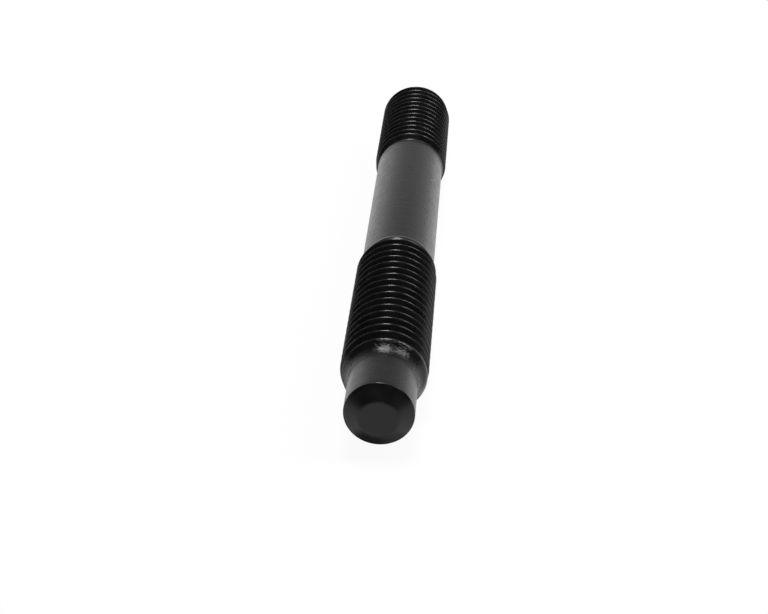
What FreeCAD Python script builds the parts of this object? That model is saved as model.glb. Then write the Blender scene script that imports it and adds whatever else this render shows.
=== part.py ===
import FreeCAD, Part
import Sketcher
import os

# Double ended stud: one piece of steel bar, turned to a blank and thread rolled at both ends.
# It lies on its side along Y, with its pilot end at -Y and its threads touching Z = 0.
# Each thread stands here as a plain cylinder at its major diameter.

doc = FreeCAD.newDocument("double_ended_stud")

# Driving sizes in millimetres. Stations along the stud are measured from the flat of the pilot's point.
driving_sizes = [
    ("overall_length", 70.5, "end to end, pilot included"),
    ("thread_diameter", 8.0, "major diameter of both threads"),
    ("thread_pitch", 1.25, "advance in one turn"),
    ("pitch_diameter_factor", 0.6495, "pitch diameter is this many pitches under the major diameter"),
    ("minor_diameter_factor", 1.2269, "root diameter is this many pitches under the major diameter"),
    ("point_flat_radius", 1.75, "flat in the middle of the pilot's point"),
    ("point_length", 0.85, "blunt cone from that flat to the pilot's rim, along the axis"),
    ("point_flat_rounding", 0.6, "rounding between the flat and the blunt cone"),
    ("pilot_thread_clearance", 0.27, "how far the pilot's diameter lies under the thread's root diameter"),
    ("pilot_length", 5.706, "pilot's rim to where the lead-in's slope, carried on, would meet the pilot"),
    ("pilot_rim_radius", 0.15, "rounding of the pilot's rim"),
    ("pilot_root_radius", 1.8, "hollow in which the pilot flares into the lead-in"),
    ("lead_in_length", 0.564, "from there to the lead-in's edge, where the first turn of thread begins"),
    ("lead_in_edge_clearance", 0.36, "how far the diameter of that edge lies under the major diameter"),
    ("lead_in_edge_rounding", 0.08, "rounding of that edge"),
    ("first_turn_length", 0.68, "slight rise from that edge to the thread's major diameter"),
    ("near_thread_length", 19.1, "full thread after that rise"),
    ("far_thread_length", 14.7, "full thread at the plain end, before its chamfer"),
    ("runout_turns", 1.5, "turns in which a thread fades into the shank"),
    ("end_chamfer_length", 0.8, "chamfer of the plain end, along the axis"),
    ("end_chamfer_clearance", 0.27, "how far the plain end's face lies under the thread's root diameter"),
    ("end_face_rounding", 0.1, "rounding between the plain end's face and its chamfer"),
]

sizes = doc.addObject("Spreadsheet::Sheet", "sizes")
for row, (alias, value, meaning) in enumerate(driving_sizes, start=1):
    sizes.set(f"A{row}", alias)
    sizes.set(f"B{row}", str(value))
    sizes.set(f"C{row}", meaning)
    sizes.setAlias(f"B{row}", alias)
doc.recompute()

# Radii and stations, worked out from the driving sizes.
THREAD_RADIUS = "sizes.thread_diameter / 2"
ROOT_RADIUS = "(sizes.thread_diameter - sizes.minor_diameter_factor * sizes.thread_pitch) / 2"
SHANK_RADIUS = "(sizes.thread_diameter - sizes.pitch_diameter_factor * sizes.thread_pitch) / 2"
PILOT_RADIUS = f"{ROOT_RADIUS} - sizes.pilot_thread_clearance / 2"
END_FACE_RADIUS = f"{ROOT_RADIUS} - sizes.end_chamfer_clearance / 2"
POINT_FLAT_RADIUS = "sizes.point_flat_radius"
LEAD_IN_EDGE_RADIUS = f"{THREAD_RADIUS} - sizes.lead_in_edge_clearance / 2"

PILOT_RIM = "sizes.point_length"
PILOT_FOOT = f"{PILOT_RIM} + sizes.pilot_length"
LEAD_IN_EDGE = f"{PILOT_FOOT} + sizes.lead_in_length"
NEAR_THREAD_START = f"{LEAD_IN_EDGE} + sizes.first_turn_length"
NEAR_THREAD_END = f"{NEAR_THREAD_START} + sizes.near_thread_length"
NEAR_RUNOUT_END = f"{NEAR_THREAD_END} + sizes.runout_turns * sizes.thread_pitch"
PLAIN_END = "sizes.overall_length"
FAR_THREAD_END = f"{PLAIN_END} - sizes.end_chamfer_length"
FAR_THREAD_START = f"{FAR_THREAD_END} - sizes.far_thread_length"
FAR_RUNOUT_END = f"{FAR_THREAD_START} - sizes.runout_turns * sizes.thread_pitch"
ON_AXIS = None


def origin_part(body, role):
    return next(item for item in body.Origin.OriginFeatures if item.Role == role)


def half_section_sketch(body, name):
    sketch = body.newObject("Sketcher::SketchObject", name)
    sketch.AttachmentSupport = [(origin_part(body, "XY_Plane"), "")]
    sketch.MapMode = "FlatFace"
    return sketch


def hold_point(sketch, line, name, radius, station):
    """Hold the start of a line at a radius and a station, each an expression or ON_AXIS."""
    start, x_axis, y_axis, origin_point = 1, -1, -2, (-1, 1)
    rough = sketch.Geometry[line].StartPoint
    for suffix, kind, axis, expression, rough_value in (
        ("radius", "DistanceX", y_axis, radius, rough.x),
        ("station", "DistanceY", x_axis, station, rough.y),
    ):
        if expression is ON_AXIS:
            sketch.addConstraint(Sketcher.Constraint("PointOnObject", line, start, axis))
            continue
        index = sketch.addConstraint(Sketcher.Constraint(kind, *origin_point, line, start, rough_value))
        sketch.renameConstraint(index, f"{name}_{suffix}")
        sketch.setExpression(f"Constraints.{name}_{suffix}", expression)


def outline(sketch, corners):
    """Close straight lines through the named corners. The constraints pull the rough lines to size."""
    count = len(corners)
    rough_corners = [FreeCAD.Vector(step, step, 0) for step in range(1, count + 1)]
    for line, rough_start in enumerate(rough_corners):
        rough_end = rough_corners[(line + 1) % count]
        sketch.addGeometry(Part.LineSegment(rough_start, rough_end))
    for line in range(count):
        sketch.addConstraint(Sketcher.Constraint("Coincident", line, 2, (line + 1) % count, 1))
    for line, (name, radius, station) in enumerate(corners):
        hold_point(sketch, line, name, radius, station)


def round_edge_at(shape, radius, station):
    """Name of the circular edge about the stud's axis that has this radius at this station."""
    tolerance = 1e-4
    for number, edge in enumerate(shape.Edges, start=1):
        curve = edge.Curve
        if not isinstance(curve, Part.Circle):
            continue
        if abs(curve.Radius - radius) < tolerance and abs(curve.Center.y - station) < tolerance:
            return f"Edge{number}"
    raise RuntimeError(f"no round edge of radius {radius} at station {station}")


def corner_of(sketch, name):
    """Radius and station that a named corner of the half section has now."""
    held = {constraint.Name: constraint.Value for constraint in sketch.Constraints}
    return held[f"{name}_radius"], held.get(f"{name}_station", 0.0)


def rounded(body, name, base, section, corner, radius):
    """Round the edge that a corner of the half section sweeps out."""
    fillet = body.newObject("PartDesign::Fillet", name)
    fillet.Base = (base, [round_edge_at(base.Shape, *corner_of(section, corner))])
    fillet.setExpression("Radius", radius)
    doc.recompute()
    return fillet


def make_stud():
    body = doc.addObject("PartDesign::Body", "stud_body")
    body.Label = "stud"

    # The blank: point, pilot, lead-in, near thread, shank, far thread and its chamfer in one half section.
    section = half_section_sketch(body, "blank_section")
    outline(section, [
        ("point_centre", ON_AXIS, ON_AXIS),
        ("point_flat", POINT_FLAT_RADIUS, ON_AXIS),
        ("pilot_rim", PILOT_RADIUS, PILOT_RIM),
        ("pilot_foot", PILOT_RADIUS, PILOT_FOOT),
        ("lead_in_edge", LEAD_IN_EDGE_RADIUS, LEAD_IN_EDGE),
        ("near_thread_start", THREAD_RADIUS, NEAR_THREAD_START),
        ("near_thread_end", THREAD_RADIUS, NEAR_THREAD_END),
        ("near_runout_end", SHANK_RADIUS, NEAR_RUNOUT_END),
        ("far_runout_end", SHANK_RADIUS, FAR_RUNOUT_END),
        ("far_thread_start", THREAD_RADIUS, FAR_THREAD_START),
        ("far_thread_end", THREAD_RADIUS, FAR_THREAD_END),
        ("plain_end_rim", END_FACE_RADIUS, PLAIN_END),
        ("plain_end_centre", ON_AXIS, PLAIN_END),
    ])
    blank = body.newObject("PartDesign::Revolution", "blank")
    blank.Profile = section
    blank.ReferenceAxis = (section, ["V_Axis"])
    blank.Angle = 360
    doc.recompute()

    # The flare at the pilot's foot, the lead-in's edge, the pilot's point and rim, and the plain end's rim.
    flare = rounded(body, "pilot_flare", blank, section, "pilot_foot", "sizes.pilot_root_radius")
    edge = rounded(body, "lead_in_edge_rounding", flare, section, "lead_in_edge", "sizes.lead_in_edge_rounding")
    point = rounded(body, "point_rounding", edge, section, "point_flat", "sizes.point_flat_rounding")
    rim = rounded(body, "pilot_rim", point, section, "pilot_rim", "sizes.pilot_rim_radius")
    rounded(body, "plain_end_rim", rim, section, "plain_end_rim", "sizes.end_face_rounding")
    return body


stud = make_stud()
stud.setExpression("Placement.Base.y", "-sizes.overall_length / 2")
stud.setExpression("Placement.Base.z", THREAD_RADIUS)
doc.recompute()

for item in doc.Objects:
    if "Invalid" in item.State or "Error" in item.State:
        raise RuntimeError(f"{item.Label} failed: {item.State}")
if stud.Shape.isNull() or not stud.Shape.isValid() or len(stud.Shape.Solids) != 1:
    raise RuntimeError(f"{stud.Label} is not one valid solid")

os.makedirs("parts", exist_ok=True)
stud.Shape.exportStep(f"parts/{stud.Label}.step")
print(f"{stud.Label} written, {stud.Shape.Volume:.1f} cubic millimetres")
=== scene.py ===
import bpy
import math
import numpy as np
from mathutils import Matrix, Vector

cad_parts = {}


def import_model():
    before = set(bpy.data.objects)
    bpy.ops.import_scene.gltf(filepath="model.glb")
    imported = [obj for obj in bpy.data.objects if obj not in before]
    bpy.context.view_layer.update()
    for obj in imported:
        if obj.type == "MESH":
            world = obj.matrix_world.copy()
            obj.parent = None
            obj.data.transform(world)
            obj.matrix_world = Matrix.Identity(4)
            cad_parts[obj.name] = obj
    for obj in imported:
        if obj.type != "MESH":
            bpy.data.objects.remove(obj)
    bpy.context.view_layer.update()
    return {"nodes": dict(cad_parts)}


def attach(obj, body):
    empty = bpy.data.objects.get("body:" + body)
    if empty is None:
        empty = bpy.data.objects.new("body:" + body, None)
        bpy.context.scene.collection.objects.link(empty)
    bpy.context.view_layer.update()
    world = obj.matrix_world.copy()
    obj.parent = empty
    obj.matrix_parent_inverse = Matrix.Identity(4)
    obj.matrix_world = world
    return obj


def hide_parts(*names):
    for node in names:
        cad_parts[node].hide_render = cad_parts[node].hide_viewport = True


# A double ended stud in black oxide steel. It lies along Y, pilot end at -Y, threads touching Z = 0.

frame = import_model()
mm = 0.001
print("stage 1: frame loaded,", len(frame["nodes"]), "node")

# sizes in millimetres, stations from the flat of the pilot's point
stud = {
    "length": 70.5,
    "threadRadius": 4.0,
    "crestRadius": 3.986,          # a real M8 crest lies a little under its nominal radius
    "pitch": 1.25,
    "pitchDiameterFactor": 0.6495,  # the shank's diameter is this many pitches under the thread's
    "pointFlatRadius": 1.75,
    "pointLength": 0.85,
    "pointRounding": 0.6,
    "pilotRadius": 3.098,
    "pilotFoot": 6.556,            # where the lead-in's slope, carried on, would meet the pilot
    "pilotRimRadius": 0.15,
    "flareRadius": 1.8,
    "leadInAngle": 52.0,
    "leadInEdgeRadius": 3.82,      # the lead-in ends here and the first, still low turn of thread begins
    "leadInEdgeReach": 0.5,        # that turn's slope runs on this far before the edge, to round it
    "firstTurnLength": 0.68,
    "grooveStart": 6.7,            # the groove deepens as its root goes from this station to the next
    "grooveFull": 7.3,
    "nearThreadEnd": 26.9,
    "farThreadStart": 55.0,
    "runoutTurns": 1.5,
    "endChamfer": 0.8,
    "endFaceRadius": 3.1,
    "endRimRadius": 0.08,
    "crestPhase": 0.95,            # crests cross the stud's top here and whole pitches from here
    "crestRounding": 0.16,
    "rootRounding": 0.17,
    "edgeRounding": 0.2,
    "columns": 90,                 # points of the mesh round the stud
    "rowsPerPitch": 32,
    "rowCrowding": 0.65,           # how much closer the rows lie on crests and in roots
    "rowsFrom": 1.1,               # millimetres before the pilot's foot at which rings give way to rows
    "pointArcRings": 7,
    "endArcRings": 5,
    "faceRings": 7,
    "coneRings": 6,
    "pilotRings": 7,
    "shankRings": 16,
    "sharpAngle": 38.0,            # degrees between two faces above which their edge stays sharp
}


def lower(a, b, width):
    # the lower of two heights, the corner between them rounded by a quadratic blend of this width
    share = np.clip(0.5 + 0.5 * (b - a) / width, 0.0, 1.0)
    return b * (1 - share) + a * share - width * share * (1 - share)


def higher(a, b, width):
    # the higher of two heights, the corner between them rounded in the same way
    return -lower(-a, -b, width)


def between(first, last, count):
    # so many values or places, evenly spaced between two others
    return np.linspace(first, last, count + 2)[1:-1]


def shankRadius():
    # the shank has the thread's pitch diameter, like any bar whose thread is rolled
    return stud["threadRadius"] - stud["pitchDiameterFactor"] * stud["pitch"] / 2


def threadRadius(turn):
    # radius of the thread at a place counted in turns from a crest's middle: a flat crest an eighth of
    # a pitch wide, flanks sloping at 60 degrees to the axis, and a root 17/24 of the sharp height down
    pitch, crest = stud["pitch"], stud["crestRadius"]
    offCrest = np.abs((turn + 0.5) % 1.0 - 0.5) * pitch
    flank = crest - (offCrest - pitch / 16) * math.sqrt(3)
    root = crest - pitch * math.sqrt(3) / 2 * 17 / 24
    return higher(lower(flank, crest, stud["crestRounding"]), root, stud["rootRounding"])


def blankRadius(station):
    # radius of the unthreaded blank: pilot, a hollow flare tangent to it and to the lead-in, the
    # lead-in's rounded edge, the slight rise to the major diameter, and the plain end's chamfer
    slope, bend = math.radians(stud["leadInAngle"]), stud["flareRadius"]
    cone = stud["pilotRadius"] + (station - stud["pilotFoot"]) * math.tan(slope)
    along = station - stud["pilotFoot"] + bend * math.tan(slope / 2)
    flare = bend - np.sqrt(np.maximum(bend ** 2 - np.clip(along, 0, bend * math.sin(slope)) ** 2, 0))
    nose = np.where(along < bend * math.sin(slope), stud["pilotRadius"] + flare, cone)
    edge = stud["leadInEdgeRadius"]
    edgeStation = stud["pilotFoot"] + (edge - stud["pilotRadius"]) / math.tan(slope)
    rise = (stud["threadRadius"] - edge) / stud["firstTurnLength"]
    crown = edge + np.maximum(station - edgeStation, -stud["leadInEdgeReach"]) * rise
    nose = lower(nose, crown, stud["edgeRounding"])
    taper = (stud["threadRadius"] - stud["endFaceRadius"]) / stud["endChamfer"]
    tail = stud["endFaceRadius"] + (stud["length"] - station) * taper
    return np.minimum(nose, tail)


def eased(share):
    # 0 before the stretch and 1 after it, smooth at both ends
    share = np.clip(share, 0, 1)
    return share * share * (3 - 2 * share)


def finishedRadius(angle, station):
    # the thread where it is full, under the blank's outline at both ends, and fading into the shank
    pitch, shank = stud["pitch"], shankRadius()
    turn = (station - stud["crestPhase"]) / pitch - angle / (2 * math.pi)
    thread = threadRadius(turn)
    root = station + (0.5 - turn % 1.0) * pitch
    depth = eased((root - stud["grooveStart"]) / (stud["grooveFull"] - stud["grooveStart"]))
    thread = stud["crestRadius"] + (thread - stud["crestRadius"]) * depth
    runout = stud["runoutTurns"] * pitch
    fade = eased(np.minimum(station - stud["nearThreadEnd"], stud["farThreadStart"] - station) / runout)
    return lower(shank + (thread - shank) * (1 - fade), blankRadius(station), stud["edgeRounding"])


def placed(angle, station, radius):
    # a point at an angle from the top towards +X, at a station and a radius, in metres
    angle, station, radius = np.broadcast_arrays(angle, station, radius)
    x = radius * np.sin(angle)
    y = station - stud["length"] / 2
    z = radius * np.cos(angle) + stud["threadRadius"]
    return np.stack([x, y, z], axis=-1).reshape(-1, 3) * mm


def joinedRings(below, above):
    # quads between two neighbouring rings of points, facing outwards
    nextBelow, nextAbove = np.roll(below, -1, axis=-1), np.roll(above, -1, axis=-1)
    return np.stack([below, nextBelow, nextAbove, above], axis=-1).reshape(-1, 4)


def helicalZone(first, last, firstRing, lastRing, startIndex):
    # rows that follow the thread, each a whole turn long: a row's end meets the start of the row one
    # pitch on; points before the first station or after the last one fall on that zone's end ring
    columns, rows, pitch = stud["columns"], stud["rowsPerPitch"], stud["pitch"]
    startTurn = math.floor((first - stud["crestPhase"]) / pitch) - 1
    count = int(math.ceil(((last - first) / pitch + 2) * rows)) + 1
    even = np.arange(count) / rows
    # even steps, drawn by a sine towards the middle of each crest and root
    turn = even - stud["rowCrowding"] * np.sin(4 * math.pi * even) / (4 * math.pi) + startTurn
    column = np.arange(columns)
    station = stud["crestPhase"] + (turn[:, None] + column[None, :] / columns) * pitch
    angle = np.broadcast_to(2 * math.pi * column / columns, station.shape)
    own = (station > first) & (station < last)
    index = np.where(station <= first, firstRing[None, :], lastRing[None, :])
    index[own] = startIndex + np.arange(own.sum())
    points = placed(angle[own], station[own], finishedRadius(angle[own], station[own]))
    wrapped = np.full((count, 1), lastRing[0])
    wrapped[:count - rows, 0] = index[rows:, 0]
    table = np.concatenate([index, wrapped], axis=1)
    below, above = table[:-1], table[1:]
    quads = np.stack([below[:, :-1], below[:, 1:], above[:, 1:], above[:, :-1]], axis=-1)
    return points, quads.reshape(-1, 4)


def withoutCollapsed(quads):
    # quads that lost an edge become triangles, and those that lost more are dropped
    faces = []
    for drop in range(4):
        same = quads[:, drop] == quads[:, (drop + 1) % 4]
        keep = [corner for corner in range(4) if corner != drop]
        triangles = quads[same][:, keep]
        proper = (triangles[:, 0] != triangles[:, 1]) & (triangles[:, 1] != triangles[:, 2])
        proper &= triangles[:, 2] != triangles[:, 0]
        faces += triangles[proper].tolist()
        quads = quads[~same]
    return faces + quads.tolist()


def roundedCorner(before, corner, after, radius, steps):
    # points along the arc that rounds a corner of the turned outline, given as (station, radius) pairs
    before, corner, after = (np.array(place, float) for place in (before, corner, after))
    back = (before - corner) / np.linalg.norm(before - corner)
    ahead = (after - corner) / np.linalg.norm(after - corner)
    half = math.acos(np.clip(back @ ahead, -1, 1)) / 2
    middle = (back + ahead) / np.linalg.norm(back + ahead)
    centre = corner + middle * radius / math.sin(half)
    fromCentre = corner + back * radius / math.tan(half) - centre
    side = -middle - (-middle @ fromCentre) * fromCentre / radius ** 2
    side *= radius / np.linalg.norm(side)
    turn = np.linspace(0, math.pi - 2 * half, steps)[:, None]
    return centre + fromCentre * np.cos(turn) + side * np.sin(turn)


def pointOutline():
    # stations and radii from the middle of the point's flat, over the blunt cone and the rim, to the pilot
    centre, flat = (0, 0), (0, stud["pointFlatRadius"])
    rim, wall = (stud["pointLength"], stud["pilotRadius"]), (stud["pilotFoot"], stud["pilotRadius"])
    soft = roundedCorner(centre, flat, rim, stud["pointRounding"], stud["pointArcRings"])
    sharp = roundedCorner(flat, rim, wall, stud["pilotRimRadius"], stud["pointArcRings"])
    inner = between(centre, soft[0], stud["faceRings"])
    cone = between(soft[-1], sharp[0], stud["coneRings"])
    outline = np.concatenate([inner, soft, cone, sharp])
    return outline[:, 0], outline[:, 1]


def plainEndOutline():
    # stations and radii from the chamfer, over its rounded rim, to the middle of the plain end's face
    chamfer = (stud["length"] - stud["endChamfer"], stud["threadRadius"])
    rim, centre = (stud["length"], stud["endFaceRadius"]), (stud["length"], 0)
    soft = roundedCorner(chamfer, rim, centre, stud["endRimRadius"], stud["endArcRings"])
    outline = np.concatenate([soft, between(soft[-1], centre, stud["faceRings"])])
    return outline[:, 0], outline[:, 1]


def studMesh():
    # turned rings for point, pilot, shank and plain end, with rows that follow the thread between them
    columns = stud["columns"]
    around = 2 * math.pi * np.arange(columns) / columns
    runout = stud["runoutTurns"] * stud["pitch"]
    nearLast, farFirst = stud["nearThreadEnd"] + runout, stud["farThreadStart"] - runout

    nearStations, nearAcross = pointOutline()
    nearFirst = stud["pilotFoot"] - stud["rowsFrom"]
    pilotStations = np.linspace(nearStations[-1], nearFirst, stud["pilotRings"] + 1)[1:]
    nearStations = np.concatenate([nearStations, pilotStations])
    nearAcross = np.concatenate([nearAcross, blankRadius(pilotStations)])
    shankStations = np.linspace(nearLast, farFirst, stud["shankRings"])
    shankAcross = np.full_like(shankStations, shankRadius())
    endStations, endAcross = plainEndOutline()

    points = [np.array([[0.0, -stud["length"] / 2, stud["threadRadius"]]]) * mm]
    total = 1
    rings = []
    for stations, across in (
        (nearStations, nearAcross),
        (shankStations, shankAcross),
        (endStations, endAcross),
    ):
        points.append(placed(around[None, :], stations[:, None], across[:, None]))
        rings.append(total + np.arange(len(stations) * columns).reshape(len(stations), columns))
        total += len(stations) * columns
    points.append(np.array([[0.0, stud["length"] / 2, stud["threadRadius"]]]) * mm)
    lastPole = total
    total += 1

    # each pole counts as a ring of one repeated point, so its triangles face outwards like the quads
    nearRings, shankRings, endRings = rings
    nearRings = np.vstack([np.full(columns, 0), nearRings])
    endRings = np.vstack([endRings, np.full(columns, lastPole)])
    faces = []
    for group in (nearRings, shankRings, endRings):
        faces += withoutCollapsed(joinedRings(group[:-1], group[1:]))
    for first, last, firstRing, lastRing in (
        (nearFirst, nearLast, nearRings[-1], shankRings[0]),
        (farFirst, endStations[0], shankRings[-1], endRings[0]),
    ):
        zonePoints, quads = helicalZone(first, last, firstRing, lastRing, total)
        points.append(zonePoints)
        total += len(zonePoints)
        faces += withoutCollapsed(quads)

    made = bpy.data.meshes.new("stud")
    made.from_pydata(np.concatenate(points), [], faces)
    made.shade_smooth()
    made.set_sharp_from_angle(angle=math.radians(stud["sharpAngle"]))
    return made


studPiece = bpy.data.objects.new("threadedStud", studMesh())
bpy.context.scene.collection.objects.link(studPiece)
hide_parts("stud")
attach(studPiece, "root")
print("stage 2: stud made,", len(studPiece.data.polygons), "faces")

finish = {
    "oxideColour": (0.0065, 0.0065, 0.007, 1.0),
    "mottleColour": (0.0105, 0.0103, 0.0103, 1.0),
    "wornColour": (0.0105, 0.0105, 0.011, 1.0),
    "wornFrom": 3.93,              # radius in millimetres at which a thread's crest looks rubbed
    "mottleScale": 900.0,
    "mottleDetail": 4.0,
    "mottleInColour": (0.4, 0.7),  # the stretch of the mottle that takes the colour from one to the other
    "mottleInRoughness": (0.3, 0.7),
    "roughness": (0.24, 0.32),
    "ringSpacing": 0.22,           # millimetres between turning marks
    "ringScaleAcross": 60.0,       # small, so that a mark runs round the stud
    "ringDetail": 3.0,
    "ringHeight": 0.012,
    "grainScale": 7000.0,
    "grainDetail": 2.0,
    "grainHeight": 0.002,
    "crestSmoother": 0.10,         # how much less rough a rubbed crest is, and the scuffed lead-in
    "scuffSmoother": 0.08,
    "pointSmoother": -0.09,        # the point's face is the roughest
    "oxideIor": 1.4,
    "scuffSize": (0.20, 0.13),     # millimetres round the stud and along it
    "scuffDetail": 2.0,
    "scuffHeight": 0.045,
    "scuffFrom": 5.3,              # the scuffs lie between these stations and fade over this length
    "scuffTo": 7.4,
    "scuffFade": 0.4,
}


def node(tree, kind, **settings):
    # a new shader node of a kind, with its settings
    made = tree.nodes.new("ShaderNode" + kind)
    for name, value in settings.items():
        setattr(made, name, value)
    return made


def noise(tree, place, scale, detail):
    # a cloudy pattern between 0 and 1, so many clouds to the metre where the place is in metres
    made = node(tree, "TexNoise")
    made.inputs["Scale"].default_value = scale
    made.inputs["Detail"].default_value = detail
    tree.links.new(place, made.inputs["Vector"])
    return made.outputs["Fac"]


def remap(tree, value, fromRange, toRange):
    # the first range carried over to the second along a straight line, and held at its ends
    made = node(tree, "MapRange")
    made.inputs["From Min"].default_value, made.inputs["From Max"].default_value = fromRange
    made.inputs["To Min"].default_value, made.inputs["To Max"].default_value = toRange
    tree.links.new(value, made.inputs["Value"])
    return made.outputs["Result"]


def mixColour(tree, share, first, second):
    # the colours are given as values or as sockets
    made = node(tree, "Mix", data_type="RGBA")
    tree.links.new(share, made.inputs[0])
    for socket, colour in ((made.inputs[6], first), (made.inputs[7], second)):
        if isinstance(colour, tuple):
            socket.default_value = colour
        else:
            tree.links.new(colour, socket)
    return made.outputs[2]


def oxideMaterial():
    # nearly black, mottled and satin, with turning marks, grain, scuffs and rubbed crests
    material = bpy.data.materials.new("blackOxideSteel")
    material.use_nodes = True
    tree = material.node_tree
    shader = tree.nodes["Principled BSDF"]
    shader.inputs["IOR"].default_value = finish["oxideIor"]
    place = node(tree, "TexCoord").outputs["Object"]

    # distance from the stud's axis, which tells a thread's crest from its flanks
    toAxis = node(tree, "Mapping")
    toAxis.inputs["Location"].default_value = (0, 0, -stud["threadRadius"] * mm)
    toAxis.inputs["Scale"].default_value = (1, 0, 1)
    tree.links.new(place, toAxis.inputs["Vector"])
    across = node(tree, "VectorMath", operation="LENGTH")
    tree.links.new(toAxis.outputs["Vector"], across.inputs[0])
    worn = (finish["wornFrom"] * mm, stud["crestRadius"] * mm)
    crest = remap(tree, across.outputs["Value"], worn, (0, 1))

    # turning marks run round the stud: the pattern is stretched across it and tight along it
    around = node(tree, "Mapping")
    acrossScale, alongScale = finish["ringScaleAcross"], 1 / (finish["ringSpacing"] * mm)
    around.inputs["Scale"].default_value = (acrossScale, alongScale, acrossScale)
    tree.links.new(place, around.inputs["Vector"])
    rings = noise(tree, around.outputs["Vector"], 1.0, finish["ringDetail"])
    mottle = noise(tree, place, finish["mottleScale"], finish["mottleDetail"])
    grain = noise(tree, place, finish["grainScale"], finish["grainDetail"])

    paler = remap(tree, mottle, finish["mottleInColour"], (0, 1))
    oxide = mixColour(tree, paler, finish["oxideColour"], finish["mottleColour"])
    tree.links.new(mixColour(tree, crest, oxide, finish["wornColour"]), shader.inputs["Base Color"])

    # scuffs where the rolling die first bit the lead-in: a hat-shaped share of the way along the stud
    split = node(tree, "SeparateXYZ")
    tree.links.new(place, split.inputs[0])
    first, last = ((finish[end] - stud["length"] / 2) * mm for end in ("scuffFrom", "scuffTo"))
    fade = finish["scuffFade"] * mm
    rise = remap(tree, split.outputs["Y"], (first, first + fade), (0, 1))
    fall = remap(tree, split.outputs["Y"], (last - fade, last), (1, 0))
    inside = node(tree, "Math", operation="MINIMUM")
    tree.links.new(rise, inside.inputs[0])
    tree.links.new(fall, inside.inputs[1])

    # the point's face ends where its rim's rounding begins
    pointEnd = (stud["pointLength"] - stud["length"] / 2) * mm
    rimStart = pointEnd - 2 * stud["pilotRimRadius"] * mm
    point = remap(tree, split.outputs["Y"], (rimStart, pointEnd), (1, 0))
    rough = remap(tree, mottle, finish["mottleInRoughness"], finish["roughness"])
    for share, name in (
        (crest, "crestSmoother"),
        (inside.outputs[0], "scuffSmoother"),
        (point, "pointSmoother"),
    ):
        smoother = node(tree, "Math", operation="MULTIPLY_ADD")
        smoother.inputs[1].default_value = -finish[name]
        tree.links.new(share, smoother.inputs[0])
        tree.links.new(rough, smoother.inputs[2])
        rough = smoother.outputs[0]
    tree.links.new(rough, shader.inputs["Roughness"])

    stretched = node(tree, "Mapping")
    acrossScale, alongScale = (1 / (size * mm) for size in finish["scuffSize"])
    stretched.inputs["Scale"].default_value = (acrossScale, alongScale, acrossScale)
    tree.links.new(place, stretched.inputs["Vector"])
    scuffs = noise(tree, stretched.outputs["Vector"], 1.0, finish["scuffDetail"])

    # the three reliefs add up, each bump node starting from the normal that the one before it gives
    normal = None
    for height, distance, strength in (
        (rings, "ringHeight", None),
        (grain, "grainHeight", None),
        (scuffs, "scuffHeight", inside.outputs[0]),
    ):
        bump = node(tree, "Bump")
        bump.inputs["Distance"].default_value = finish[distance] * mm
        tree.links.new(height, bump.inputs["Height"])
        if strength is not None:
            tree.links.new(strength, bump.inputs["Strength"])
        if normal is not None:
            tree.links.new(normal, bump.inputs["Normal"])
        normal = bump.outputs["Normal"]
    tree.links.new(normal, shader.inputs["Normal"])
    return material


studPiece.data.materials.append(oxideMaterial())
print("stage 3: material made")

studio = {
    "floorAcross": 3.0,
    "floorFront": -0.06,           # the white floor ends here, just below the picture
    "floorBack": 1.5,
    "floorColour": (0.85, 0.85, 0.85, 1.0),
    "whiteToCamera": 0.94,         # share of plain white that the camera sees in the floor
    "whiteInReflections": 0.02,    # and that the steel sees, which still mirrors the shadow
    "focalPixels": 1660,           # the camera's focal length, in pixels of a picture this wide
    "pictureWidth": 768,
    "sensorWidth": 36,
    "clipStart": 0.01,
    "cameraPlace": (8.142, -154.833, 78.468),      # millimetres
    "viewDirection": (-0.05643, 0.88128, -0.46921),
    "darkSide": 0.01,              # brightness of the room on the camera's side
    "backdropFrom": (0.1, 0.6),    # directions, as shares along +Y, in which that room becomes the backdrop
    # brightness of the backdrop against height, as the sine of the angle above the floor
    "backdrop": ((0.0, 1.0), (0.20, 0.78), (0.40, 0.51), (0.50, 0.29), (0.75, 0.34)),
    "leftAndRight": (-0.5, 0.5),   # directions, as shares along +X, between which its strength changes
    "leftToRight": (1.1, 0.72),
    "topLight": {"towards": (0.0, 0.13, 0.99), "size": (0.15, 0.23), "radiance": 21.0},
    "sideLight": {"towards": (0.64, 0.06, 0.76), "size": (0.12, 0.26), "radiance": 11.0},
    "lightDistance": 0.6,          # metres, as the lamps' sizes are
}


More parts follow.
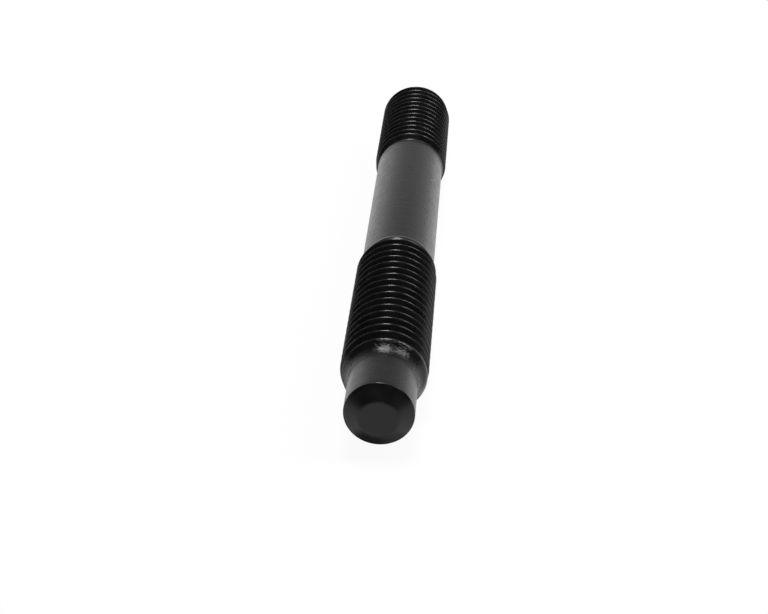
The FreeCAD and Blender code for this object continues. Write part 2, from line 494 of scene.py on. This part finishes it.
def floor():
    # the camera sees mostly plain white and a little of the ground's shadow; the steel sees the lit ground
    side, front, back = studio["floorAcross"] / 2, studio["floorFront"], studio["floorBack"]
    sheet = bpy.data.meshes.new("floor")
    corners = [(-side, front, 0), (side, front, 0), (side, back, 0), (-side, back, 0)]
    sheet.from_pydata(corners, [], [(0, 1, 2, 3)])
    piece = bpy.data.objects.new("floor", sheet)
    bpy.context.scene.collection.objects.link(piece)
    material = bpy.data.materials.new("whiteGround")
    material.use_nodes = True
    tree = material.node_tree
    shader = tree.nodes["Principled BSDF"]
    shader.inputs["Base Color"].default_value = studio["floorColour"]
    shader.inputs["Roughness"].default_value = 1.0
    shader.inputs["Specular IOR Level"].default_value = 0.0
    rays = node(tree, "LightPath")
    seen = remap(tree, rays.outputs["Is Camera Ray"], (0, 1), (0, studio["whiteToCamera"]))
    mirrored = remap(tree, rays.outputs["Is Glossy Ray"], (0, 1), (0, studio["whiteInReflections"]))
    share = node(tree, "Math", operation="ADD")
    tree.links.new(seen, share.inputs[0])
    tree.links.new(mirrored, share.inputs[1])
    white = node(tree, "Emission")
    chosen = node(tree, "MixShader")
    tree.links.new(share.outputs[0], chosen.inputs[0])
    tree.links.new(shader.outputs[0], chosen.inputs[1])
    tree.links.new(white.outputs[0], chosen.inputs[2])
    tree.links.new(chosen.outputs[0], tree.nodes["Material Output"].inputs["Surface"])
    sheet.materials.append(material)


def camera():
    # the photo's own camera, fitted to the stud's outline and its thread crests
    data = bpy.data.cameras.new("camera")
    data.lens = studio["focalPixels"] * studio["sensorWidth"] / studio["pictureWidth"]
    data.sensor_width = studio["sensorWidth"]
    data.clip_start = studio["clipStart"]
    piece = bpy.data.objects.new("camera", data)
    bpy.context.scene.collection.objects.link(piece)
    piece.location = Vector(studio["cameraPlace"]) * mm
    piece.rotation_euler = Vector(studio["viewDirection"]).to_track_quat("-Z", "Y").to_euler()
    bpy.context.scene.camera = piece


def softbox(name, settings):
    # a flat lamp that faces the stud's middle; its power is four times its brightness times its area
    data = bpy.data.lights.new(name, "AREA")
    data.shape = "RECTANGLE"
    data.size, data.size_y = settings["size"]
    data.energy = 4 * settings["radiance"] * data.size * data.size_y
    piece = bpy.data.objects.new(name, data)
    bpy.context.scene.collection.objects.link(piece)
    towards = Vector(settings["towards"]).normalized()
    piece.location = towards * studio["lightDistance"]
    piece.rotation_euler = towards.to_track_quat("Z", "Y").to_euler()


def world():
    # white to the camera; to the stud, a backdrop beyond it that darkens upwards, and a dark room behind
    # the camera
    made = bpy.data.worlds.new("studio")
    made.use_nodes = True
    tree = made.node_tree
    around = tree.nodes["Background"]
    direction = node(tree, "SeparateXYZ")
    tree.links.new(node(tree, "TexCoord").outputs["Object"], direction.inputs[0])
    ramp = node(tree, "ValToRGB")
    stops = ramp.color_ramp.elements
    while len(stops) < len(studio["backdrop"]):
        stops.new(0.5)
    for stop, (height, brightness) in zip(stops, studio["backdrop"]):
        stop.position = height
        stop.color = (brightness, brightness, brightness, 1.0)
    tree.links.new(direction.outputs["Z"], ramp.inputs[0])
    beyond = remap(tree, direction.outputs["Y"], studio["backdropFrom"], (0, 1))
    strength = remap(tree, direction.outputs["X"], studio["leftAndRight"], studio["leftToRight"])
    dark = (studio["darkSide"],) * 3 + (1.0,)
    tree.links.new(mixColour(tree, beyond, dark, ramp.outputs[0]), around.inputs["Color"])
    tree.links.new(strength, around.inputs["Strength"])
    white = node(tree, "Background")
    white.inputs["Color"].default_value = (1, 1, 1, 1)
    chosen = node(tree, "MixShader")
    tree.links.new(node(tree, "LightPath").outputs["Is Camera Ray"], chosen.inputs[0])
    tree.links.new(around.outputs[0], chosen.inputs[1])
    tree.links.new(white.outputs[0], chosen.inputs[2])
    tree.links.new(chosen.outputs[0], tree.nodes["World Output"].inputs["Surface"])
    bpy.context.scene.world = made


floor()
camera()
world()
softbox("topLight", studio["topLight"])
softbox("sideLight", studio["sideLight"])
bpy.context.scene.view_settings.view_transform = "Standard"
print("stage 4: studio ready")
